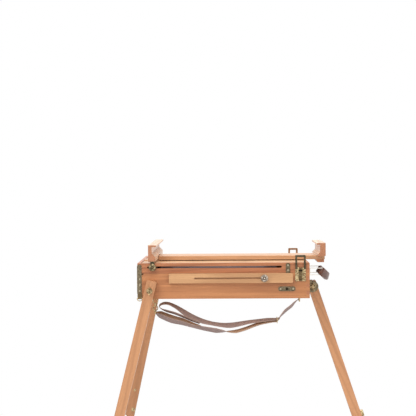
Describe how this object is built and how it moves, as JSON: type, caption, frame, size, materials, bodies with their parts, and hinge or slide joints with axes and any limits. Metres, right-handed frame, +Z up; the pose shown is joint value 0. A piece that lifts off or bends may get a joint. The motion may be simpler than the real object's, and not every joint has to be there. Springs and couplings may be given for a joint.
{
  "type": "sketch box easel",
  "caption": "Wooden sketch box on telescopic legs, with a drawer, a palette and a lid that swings up with its mast and grooved holders to hold a canvas.",
  "frame": {"origin": "on the floor, under the centre of the whole easel's bounding box", "axes": "+X from the lid's hinge end towards the handle, +Y across the box, +Z up"},
  "size_m": [1.0028, 0.4356, 0.9575],
  "materials": {
    "beech": "oiled satin",
    "beech_light": "oiled satin",
    "mast_wood": "oiled satin",
    "leg_wood": "oiled satin",
    "plywood": "sealed",
    "aged_brass": "aged",
    "bright_brass": "polished",
    "bronze": "dark bronze",
    "nickel": "plated wire",
    "leather": "worn",
    "webbing": "soft strap"
  },
  "bodies": {
    "case": {"case_side_walls": "beech", "case_end_walls": "beech", "case_bottom": "plywood", "case_ledges": "beech", "palette": "plywood", "hinge_straps": "aged_brass", "stay_pivots": "bright_brass", "latch_catches": "aged_brass", "keeper_plates": "aged_brass", "handle_mounts": "nickel", "rear_hinge": "aged_brass", "shoulder_strap": "webbing", "strap_fittings": "bright_brass"},
    "lid": {"lid_side_walls": "beech", "lid_end_walls": "beech", "lid_panel": "plywood", "mast_guide": "mast_wood", "mast_bolts": "bright_brass", "latch_plates": "aged_brass", "stay_hangers": "aged_brass"},
    "canvas_holder": {"canvas_rest": "mast_wood", "rest_brackets": "bronze"},
    "rest_knob_near": {"rest_knob_near": "bright_brass"},
    "rest_knob_far": {"rest_knob_far": "bright_brass"},
    "mast": {"mast_board": "mast_wood", "mast_foot": "mast_wood", "upper_holder": "mast_wood"},
    "mast_knob": {"mast_knob": "bronze"},
    "drawer": {"drawer_front": "beech", "drawer_walls": "beech", "drawer_bottom": "plywood", "drawer_dividers": "plywood"},
    "rear_bracket": {"rear_bracket": "aged_brass"},
    "handle": {"handle_stirrups": "nickel", "handle_grip": "leather"},
    "spare_ring": {"spare_ring": "bright_brass"},
    "stay_strip_near": {"stay_inner_near": "beech_light"},
    "stay_bar_near": {"stay_outer_near": "beech_light", "stay_rivet_near": "bright_brass"},
    "stay_knob_near": {"stay_knob_near": "bright_brass"},
    "latch_bail_near": {"latch_bail_near": "bronze"},
    "leg_near": {"leg_near": "leg_wood", "leg_plates_near": "bright_brass"},
    "leg_lower_near": {"leg_lower_near": "leg_wood"},
    "leg_clamp_near": {"leg_clamp_near": "bright_brass"},
    "leg_nut_near": {"leg_nut_near": "bright_brass"},
    "stay_strip_far": {"stay_inner_far": "beech_light"},
    "stay_bar_far": {"stay_outer_far": "beech_light", "stay_rivet_far": "bright_brass"},
    "stay_knob_far": {"stay_knob_far": "bright_brass"},
    "latch_bail_far": {"latch_bail_far": "bronze"},
    "leg_far": {"leg_far": "leg_wood", "leg_plates_far": "bright_brass"},
    "leg_lower_far": {"leg_lower_far": "leg_wood"},
    "leg_clamp_far": {"leg_clamp_far": "bright_brass"},
    "leg_nut_far": {"leg_nut_far": "bright_brass"},
    "leg_lower_rear": {"leg_lower_rear": "leg_wood"},
    "leg_clamp_rear": {"leg_clamp_rear": "bright_brass"},
    "leg_nut_rear": {"leg_nut_rear": "bright_brass"},
    "leg_rear": {"leg_rear": "leg_wood"}
  },
  "joints": [
    {"name": "lid_tilt", "type": "hinge", "parent": "case", "child": "lid", "pos_m": [-0.31829, 0, 0.8925], "axis": [0, -1, 0], "range_deg": [0, 102]},
    {"name": "canvas_holder_slide", "type": "slide", "parent": "lid", "child": "canvas_holder", "axis": [1, 0, 0], "range_m": [-0.012, 0.38]},
    {"name": "mast_slide", "type": "slide", "parent": "lid", "child": "mast", "axis": [1, 0, 0], "range_m": [0, 0.3]},
    {"name": "mast_knob_turn", "type": "hinge", "parent": "lid", "child": "mast_knob", "pos_m": [0.15571, 0, 0.895], "axis": [0, 0, 1], "range_deg": [-180, 180]},
    {"name": "drawer_slide", "type": "slide", "parent": "case", "child": "drawer", "axis": [-1, 0, 0], "range_m": [0, 0.4]},
    {"name": "rear_bracket_fold", "type": "hinge", "parent": "case", "child": "rear_bracket", "pos_m": [0.19951, 0, 0.796], "axis": [0, 1, 0], "range_deg": [0, 90]},
    {"name": "handle_swing", "type": "hinge", "parent": "case", "child": "handle", "pos_m": [0.20171, 0, 0.863], "axis": [0, -1, 0], "range_deg": [0, 20]},
    {"name": "spare_ring_swing", "type": "hinge", "parent": "case", "child": "spare_ring", "pos_m": [-0.31729, -0.183, 0.7975], "axis": [-1, 0, 0], "range_deg": [0, 90]},
    {"name": "rest_knob_turn_near", "type": "hinge", "parent": "canvas_holder", "child": "rest_knob_near", "pos_m": [-0.27859, -0.18, 0.8905], "axis": [0, -1, 0], "range_deg": [-180, 180]},
    {"name": "stay_turn_near", "type": "hinge", "parent": "case", "child": "stay_strip_near", "pos_m": [-0.21049, -0.18, 0.8575], "axis": [0, -1, 0], "range_deg": [0, 109.3]},
    {"name": "stay_extend_near", "type": "slide", "parent": "stay_strip_near", "child": "stay_bar_near", "axis": [1, 0, 0], "range_m": [0, 0.1686]},
    {"name": "stay_knob_turn_near", "type": "hinge", "parent": "stay_strip_near", "child": "stay_knob_near", "pos_m": [0.05871, -0.18, 0.8575], "axis": [0, -1, 0], "range_deg": [-180, 180]},
    {"name": "latch_bail_swing_near", "type": "hinge", "parent": "lid", "child": "latch_bail_near", "pos_m": [0.15221, -0.1842, 0.8855], "axis": [1, 0, 0], "range_deg": [0, 170]},
    {"name": "leg_fold_near", "type": "hinge", "parent": "case", "child": "leg_near", "pos_m": [-0.28629, -0.18, 0.8216], "axis": [0, -1, 0], "range_deg": [0, 104]},
    {"name": "leg_extend_near", "type": "slide", "parent": "leg_near", "child": "leg_lower_near", "axis": [0.2419, 0, 0.9703], "range_m": [0, 0.36]},
    {"name": "leg_clamp_turn_near", "type": "hinge", "parent": "leg_near", "child": "leg_clamp_near", "pos_m": [-0.39322, -0.18, 0.39273], "axis": [0, -1, 0], "range_deg": [-180, 180]},
    {"name": "leg_nut_turn_near", "type": "hinge", "parent": "case", "child": "leg_nut_near", "pos_m": [-0.28629, -0.18, 0.8216], "axis": [0, -1, 0], "range_deg": [-180, 180]},
    {"name": "rest_knob_turn_far", "type": "hinge", "parent": "canvas_holder", "child": "rest_knob_far", "pos_m": [-0.27859, 0.18, 0.8905], "axis": [0, 1, 0], "range_deg": [-180, 180]},
    {"name": "stay_turn_far", "type": "hinge", "parent": "case", "child": "stay_strip_far", "pos_m": [-0.21049, 0.18, 0.8575], "axis": [0, -1, 0], "range_deg": [0, 109.3]},
    {"name": "stay_extend_far", "type": "slide", "parent": "stay_strip_far", "child": "stay_bar_far", "axis": [1, 0, 0], "range_m": [0, 0.1686]},
    {"name": "stay_knob_turn_far", "type": "hinge", "parent": "stay_strip_far", "child": "stay_knob_far", "pos_m": [0.05871, 0.18, 0.8575], "axis": [0, 1, 0], "range_deg": [-180, 180]},
    {"name": "latch_bail_swing_far", "type": "hinge", "parent": "lid", "child": "latch_bail_far", "pos_m": [0.15221, 0.1842, 0.8855], "axis": [-1, 0, 0], "range_deg": [0, 170]},
    {"name": "leg_fold_far", "type": "hinge", "parent": "case", "child": "leg_far", "pos_m": [-0.28629, 0.18, 0.8216], "axis": [0, -1, 0], "range_deg": [0, 102.2]},
    {"name": "leg_extend_far", "type": "slide", "parent": "leg_far", "child": "leg_lower_far", "axis": [0.2113, 0, 0.9774], "range_m": [0, 0.36]},
    {"name": "leg_clamp_turn_far", "type": "hinge", "parent": "leg_far", "child": "leg_clamp_far", "pos_m": [-0.3797, 0.18, 0.38958], "axis": [0, 1, 0], "range_deg": [-180, 180]},
    {"name": "leg_nut_turn_far", "type": "hinge", "parent": "case", "child": "leg_nut_far", "pos_m": [-0.28629, 0.18, 0.8216], "axis": [0, 1, 0], "range_deg": [-180, 180]},
    {"name": "leg_fold_rear", "type": "hinge", "parent": "rear_bracket", "child": "leg_rear", "pos_m": [0.21821, 0, 0.815], "axis": [0, 1, 0], "range_deg": [0, 18.5]},
    {"name": "leg_extend_rear", "type": "slide", "parent": "leg_rear", "child": "leg_lower_rear", "axis": [-0.3173, 0, 0.9483], "range_m": [0, 0.36]},
    {"name": "leg_clamp_turn_rear", "type": "hinge", "parent": "leg_rear", "child": "leg_clamp_rear", "pos_m": [0.35592, 0, 0.40343], "axis": [0.9483, 0, 0.3173], "range_deg": [-180, 180]},
    {"name": "leg_nut_turn_rear", "type": "hinge", "parent": "rear_bracket", "child": "leg_nut_rear", "pos_m": [0.21821, 0, 0.815], "axis": [0, -1, 0], "range_deg": [-180, 180]}
  ],
  "couplings": [
    {"joint": "stay_turn_near", "follows": "lid_tilt", "ratio": 1.0699},
    {"joint": "stay_extend_near", "follows": "lid_tilt", "m_per_rad": 0.0946},
    {"joint": "stay_turn_far", "follows": "lid_tilt", "ratio": 1.0699},
    {"joint": "stay_extend_far", "follows": "lid_tilt", "m_per_rad": 0.0946}
  ]
}
